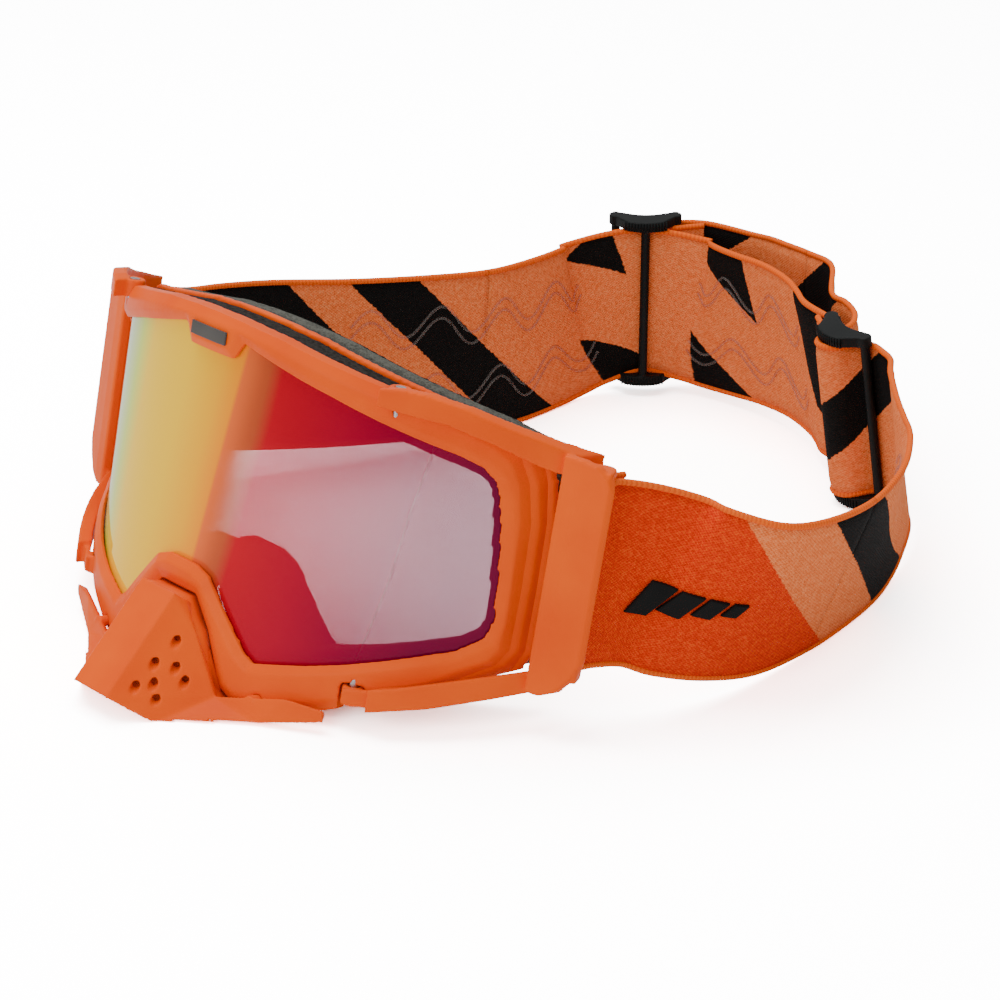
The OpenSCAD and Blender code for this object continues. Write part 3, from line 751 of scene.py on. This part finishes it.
near_left = strap_piece("strap_left_front", web_a, 0, mid_a, ELASTIC_A)
far_left = strap_piece("strap_left_back", web_a, mid_a, last_a, ELASTIC_A)
near_right = strap_piece("strap_right_front", web_b, 0, mid_b, ELASTIC_B)
back_right = strap_piece("strap_right_back", web_b, mid_b, loop_b, ELASTIC_B)
turn_back = strap_piece("strap_turned_layer", web_b, loop_b, far_b, ELASTIC_B)
return_end = strap_piece("strap_return_end", web_b, far_b, last_b, ELASTIC_B)


def row_point(web, u, v=24):
    return tuple(to_row([web.point(u, v, 0)])[0])


def blended(o, web, u_start, u_end, nodes):
    row_point(web, u_start)
    row_point(web, u_end)
    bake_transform(o)
    if nodes:
        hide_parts(*nodes)
    return o


POST_END_A = web_a.at_key(len(POST_LOOP) - 1)
POST_END_B = web_b.at_key(len(POST_LOOP) - 1)
weave_b = len(POST_LOOP) + len(RIGHT_ROUTE)
blended(near_left, web_a, POST_END_A + 2, POST_END_A + 46,
        ["strap_anchor_left", "strap_left"])
blended(far_left, web_a, web_a.at_key(last_a - 13), web_a.at_key(last_a - 8),
        ["strap_end_left"])
blended(near_right, web_b, POST_END_B + 2, POST_END_B + 46,
        ["strap_anchor_right", "strap_right"])
blended(back_right, web_b, web_b.at_key(weave_b - 4), web_b.at_key(weave_b + 1),
        ["strap_turn"])
blended(turn_back, web_b, web_b.at_key(loop_b + 4), web_b.at_key(far_b), ["strap_return"])
blended(return_end, web_b, web_b.at_key(far_b), web_b.at_key(far_b + 4),
        ["strap_end_right"])

points, faces = guard_lip()
lip = finished("nose_shield_return", to_row(stand(points)), faces, [ORANGE])
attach(lip, "nose_guard")

# ---------------------------------------------------------------- geometry node trees


def node_tree(name, sockets):
    """A geometry node tree with a geometry input, the named sizes, and one output."""
    tree = bpy.data.node_groups.new(name, "GeometryNodeTree")
    tree.interface.new_socket("Geometry", in_out="INPUT", socket_type="NodeSocketGeometry")
    for label, kind, value in sockets:
        s = tree.interface.new_socket(label, in_out="INPUT", socket_type=kind)
        if value is not None:
            s.default_value = value
    tree.interface.new_socket("Geometry", in_out="OUTPUT", socket_type="NodeSocketGeometry")
    return tree, tree.nodes.new("NodeGroupInput"), tree.nodes.new("NodeGroupOutput")


def run_tree(o, tree, values):
    """Runs a tree on an object with its inputs set by identifier, and keeps the plain mesh."""
    m = o.modifiers.new("tree", "NODES")
    m.node_group = tree
    for item in tree.interface.items_tree:
        if item.item_type == "SOCKET" and item.in_out == "INPUT" and item.name in values:
            m[item.identifier] = values[item.name]
    mesh = bpy.data.meshes.new_from_object(o.evaluated_get(bpy.context.evaluated_depsgraph_get()))
    name = o.name
    bpy.data.objects.remove(o)
    made = link(name, mesh)
    mesh.polygons.foreach_set("use_smooth", [True] * len(mesh.polygons))
    return made


def bead_tree():
    """Sweeps a round bead along a drawn line."""
    tree, start, end = node_tree("printed_bead", [("Radius", "NodeSocketFloat", 0.5 * MM),
                                                  ("Finish", "NodeSocketMaterial", None)])
    curve = add(tree, "GeometryNodeMeshToCurve", Mesh=start.outputs["Geometry"])
    ring = add(tree, "GeometryNodeCurvePrimitiveCircle", Resolution=8, Radius=start.outputs["Radius"])
    swept = add(tree, "GeometryNodeCurveToMesh", Curve=curve.outputs[0])
    tree.links.new(ring.outputs[0], swept.inputs["Profile Curve"])
    swept.inputs["Fill Caps"].default_value = True
    real = add(tree, "GeometryNodeRealizeInstances", Geometry=swept.outputs[0])
    painted = add(tree, "GeometryNodeSetMaterial", Geometry=real.outputs[0], Material=start.outputs["Finish"])
    tree.links.new(painted.outputs[0], end.inputs[0])
    return tree


def stud_tree():
    """Puts a short round-ended bar at every point, turned along the point's normal."""
    tree, start, end = node_tree("row_of_bars", [("Length", "NodeSocketFloat", 2 * MM),
                                                 ("Radius", "NodeSocketFloat", 0.25 * MM),
                                                 ("Finish", "NodeSocketMaterial", None)])
    bar = add(tree, "GeometryNodeMeshCylinder", Vertices=8, Radius=start.outputs["Radius"],
              Depth=start.outputs["Length"])
    ball = add(tree, "GeometryNodeMeshUVSphere", Segments=8, Rings=4, Radius=start.outputs["Radius"])
    half = add(tree, "ShaderNodeMath", {"operation": "MULTIPLY"}, in0=start.outputs["Length"], in1=0.5)
    back = add(tree, "ShaderNodeMath", {"operation": "MULTIPLY"}, in0=start.outputs["Length"], in1=-0.5)
    joined = add(tree, "GeometryNodeJoinGeometry")
    for shift in (half, back):
        place = add(tree, "ShaderNodeCombineXYZ", Z=shift.outputs[0])
        moved = add(tree, "GeometryNodeTransform", Geometry=ball.outputs[0], Translation=place.outputs[0])
        tree.links.new(moved.outputs[0], joined.inputs[0])
    tree.links.new(bar.outputs[0], joined.inputs[0])
    way = add(tree, "GeometryNodeInputNamedAttribute", {"data_type": "FLOAT_VECTOR"}, Name="way")
    turn = add(tree, "FunctionNodeAlignRotationToVector", {"axis": "Z"}, Vector=way.outputs[0])
    put = add(tree, "GeometryNodeInstanceOnPoints", Points=start.outputs["Geometry"], Instance=joined.outputs[0],
              Rotation=turn.outputs[0])
    real = add(tree, "GeometryNodeRealizeInstances", Geometry=put.outputs[0])
    painted = add(tree, "GeometryNodeSetMaterial", Geometry=real.outputs[0], Material=start.outputs["Finish"])
    tree.links.new(painted.outputs[0], end.inputs[0])
    return tree


BEAD = bead_tree()
BARS = stud_tree()


def bead(name, runs, radius_mm, material):
    """A bead along each run of floor frame points."""
    points, edges = [], []
    for run in runs:
        base = len(points)
        points += list(to_row(run))
        edges += [(base + i, base + i + 1) for i in range(len(run) - 1)]
    mesh = bpy.data.meshes.new(name)
    mesh.from_pydata([tuple(p) for p in points], edges, [])
    return run_tree(link(name, mesh), BEAD, {"Radius": radius_mm * MM, "Finish": material})


def bars(name, points, ways, length_mm, radius_mm, material):
    mesh = bpy.data.meshes.new(name)
    mesh.from_pydata([tuple(p) for p in to_row(points)], [], [])
    layer = mesh.attributes.new("way", "FLOAT_VECTOR", "POINT")
    layer.data.foreach_set("vector", np.array(ways, np.float32).ravel())
    sizes = {"Length": length_mm * MM, "Radius": radius_mm * MM, "Finish": material}
    return run_tree(link(name, mesh), BARS, sizes)


GRIP_ROWS = (13.5, 33.5)
GRIP_WAVE = 21
GRIP_SWING = 4.2
GRIP_HALF = 1.7
GRIP_R = 0.42


def grip_runs(web, u_from, u_to):
    """Both outlines of each wavy printed band, on the strap's inner face."""
    runs = []
    for row in GRIP_ROWS:
        for offset in (-GRIP_HALF, GRIP_HALF):
            us = np.arange(u_from, u_to, 0.8)
            runs.append([web.point(u, row + offset + GRIP_SWING * math.sin(2 * math.pi * u / GRIP_WAVE),
                                   -STRAP_T / 2 - 0.12) for u in us])
    return runs


first_left = len(POST_LOOP) + 3
grips = bead("grip_print_left", grip_runs(web_a, web_a.at_key(first_left), web_a.at_key(len(POST_LOOP) + 9)),
             GRIP_R, GRIP)
keep(grips, "root", ["grip_lines_left"])
more = bead("grip_print_back", grip_runs(web_a, web_a.at_key(len(POST_LOOP) + 11) + 1,
                                         web_a.at_key(len(POST_LOOP) + 17)), GRIP_R, GRIP)
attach(more, "root")
grips = bead("grip_print_right", grip_runs(web_b, web_b.at_key(len(POST_LOOP) + 4),
                                           web_b.at_key(len(POST_LOOP) + 7)), GRIP_R, GRIP)
keep(grips, "root", ["grip_lines_right"])

# ---------------------------------------------------------------- badge, slides and stitches

BADGE_T = 1.1
# Slanted bars of the raised badge: where each starts along the strap, its length, and its rows
BADGE_BARS = [(1, 7.4, 14.6, 24.4), (10.4, 6, 16.8, 24.4), (18.4, 5, 18.6, 24.4), (25.4, 4, 20.2, 24.4)]
BADGE_SLANT = 0.55


def badge():
    points, faces = [], []
    u_base = B0 - 9
    for start, length, low, high in BADGE_BARS:
        base = len(points)
        n = 6
        for i in range(n + 1):
            for v, lift in ((low, 0.2), (low + 0.25, BADGE_T), (high - 0.25, BADGE_T), (high, 0.2)):
                inset = 0.25 if i in (0, n) and lift > 0.5 else 0
                u = start + length * i / n + (v - low) * BADGE_SLANT + inset * (1 if i == 0 else -1)
                points.append(web_b.point(u_base + u, v, STRAP_T / 2 + lift))
        faces += [tuple(base + i for i in f) for f in grid_faces(n + 1, 4)]
        faces += [tuple(base + i for i in (0, 1, 2, 3)), tuple(base + 4 * n + i for i in (3, 2, 1, 0))]
    return finished("strap_badge_bars", to_row(points), faces, [RUBBER])


o = badge()
m = o.modifiers.new("edge", "BEVEL")
m.width = 0.2 * MM
m.segments = 2
applied(o)
blended(o, web_b, POST_END_B + 2, POST_END_B + 46, ["strap_badge"])

for side, slide in (("left", SLIDE_ONE), ("right", SLIDE_TWO)):
    o = softened(f"slide_{side}", f"strap_slide_{side}", SLIDE_BLACK, 0.28, 3)
    keep(o, f"slide_{side}", [f"slide_{side}"])
    up = unit(on_slide(slide, 0, 0, 1) - on_slide(slide, 0, 0, 0))
    spots = []
    for h in (-2.1, SLIDE_W + 2.1):
        for s in np.arange(-6, 6.1, 0.85):
            spots.append(on_slide(slide, s, -CENTRE_STEP - 1.85 + 2.6 * s * s / 60, h))
            spots.append(on_slide(slide, s, SIDE_STEP + 2 - 2.6 * (1 - s * s / 60) + 0.05, h))
    ribs = bars(f"slide_grip_ribs_{side}", spots, [up] * len(spots), 2.2, 0.3, SLIDE_BLACK)
    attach(ribs, f"slide_{side}")


def stitch_row(web, u_of, v_of, count, lift, way):
    """Points and directions of a line of stitches."""
    points, ways = [], []
    for i in range(count):
        u, v = u_of(i), v_of(i)
        points.append(web.point(u, v, lift))
        step = (0.5, 0) if way == "along" else (0, 0.5)
        ways.append(unit(web.point(u + step[0], v + step[1], lift) - web.point(u, v, lift)))
    return points, ways


tail_u = web_b.at_key(far_b + 3)
points, ways = [], []
for shift in (0, 3.4):
    p, w = stitch_row(web_b, lambda i: tail_u + shift, lambda i: 2.6 + 2.1 * i, 21, STRAP_T / 2 + 0.1, "across")
    points += p
    ways += w
sewn = bars("tail_stitches", points, ways, 1.3, 0.24, THREAD)
row_point(web_b, web_b.at_key(far_b))
row_point(web_b, web_b.at_key(far_b + 4))
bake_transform(sewn)

# ---------------------------------------------------------------- stage, light and camera


PAPER_GLOW = 11


def paint_stage():
    """White paper lit from its own lamps: it's far brighter to the eye than the light it throws on the part."""
    m, tree, shader, out = new_material("pale_paper_sweep")
    tree.links.new(ramp(tree, noise(tree, in_mm(tree), 300, 1), [(0.3, "#F6F5F4"), (0.7, "#FAFAFA")]),
                   shader.inputs["Base Color"])
    shader.inputs["Roughness"].default_value = 0.8
    shader.inputs["Specular IOR Level"].default_value = 0.0
    bright = add(tree, "ShaderNodeBsdfDiffuse", Color=(*[PAPER_GLOW] * 3, 1))
    direct = add(tree, "ShaderNodeLightPath")
    seen = add(tree, "ShaderNodeMixShader", Fac=direct.outputs["Is Camera Ray"], in1=shader.outputs[0],
               in2=bright.outputs[0])
    tree.links.new(seen.outputs[0], out.inputs["Surface"])
    return m


mesh = bpy.data.meshes.new("floor")
mesh.from_pydata([(-6, -6, 0), (6, -6, 0), (6, 6, 0), (-6, 6, 0)], [], [(0, 1, 2, 3)])
mesh.materials.append(paint_stage())
link("floor", mesh)

world = bpy.data.worlds.new("studio")
scene.world = world
world.use_nodes = True
world.node_tree.nodes["Background"].inputs[0].default_value = (1, 1, 1, 1)
world.node_tree.nodes["Background"].inputs[1].default_value = 0.6


def softbox(name, place, aim, size, watts):
    lamp = bpy.data.lights.new(name, "AREA")
    lamp.shape = "SQUARE"
    lamp.size = size
    lamp.energy = watts
    o = link(name, lamp)
    o.location = place
    o.rotation_mode = "QUATERNION"
    o.rotation_quaternion = (Vector(place) - Vector(aim)).to_track_quat("Z", "Y")


softbox("softbox_above", (-0.25, -0.05, 0.95), (0, 0, 0.02), 0.8, 8.5)
softbox("softbox_front", (0.25, -1.1, 0.6), (0, 0, 0.04), 0.7, 4.5)

# Camera: the way it looks, in degrees, its place in metres, and its lens
CAMERA_AZIMUTH = math.radians(45.6)
CAMERA_ELEVATION = math.radians(25)
CAMERA_PLACE = (0.5054, -0.4984, 0.3494)
camera = link("camera", bpy.data.cameras.new("camera"))
camera.data.sensor_width = 36
camera.data.lens = 108.07
right = Vector((math.cos(CAMERA_AZIMUTH), math.sin(CAMERA_AZIMUTH), 0))
back = Vector((math.sin(CAMERA_AZIMUTH) * math.cos(CAMERA_ELEVATION),
               -math.cos(CAMERA_AZIMUTH) * math.cos(CAMERA_ELEVATION), math.sin(CAMERA_ELEVATION)))
up = back.cross(right)
camera.matrix_world = Matrix.Translation(CAMERA_PLACE) @ Matrix((right, up, back)).transposed().to_4x4()
scene.camera = camera
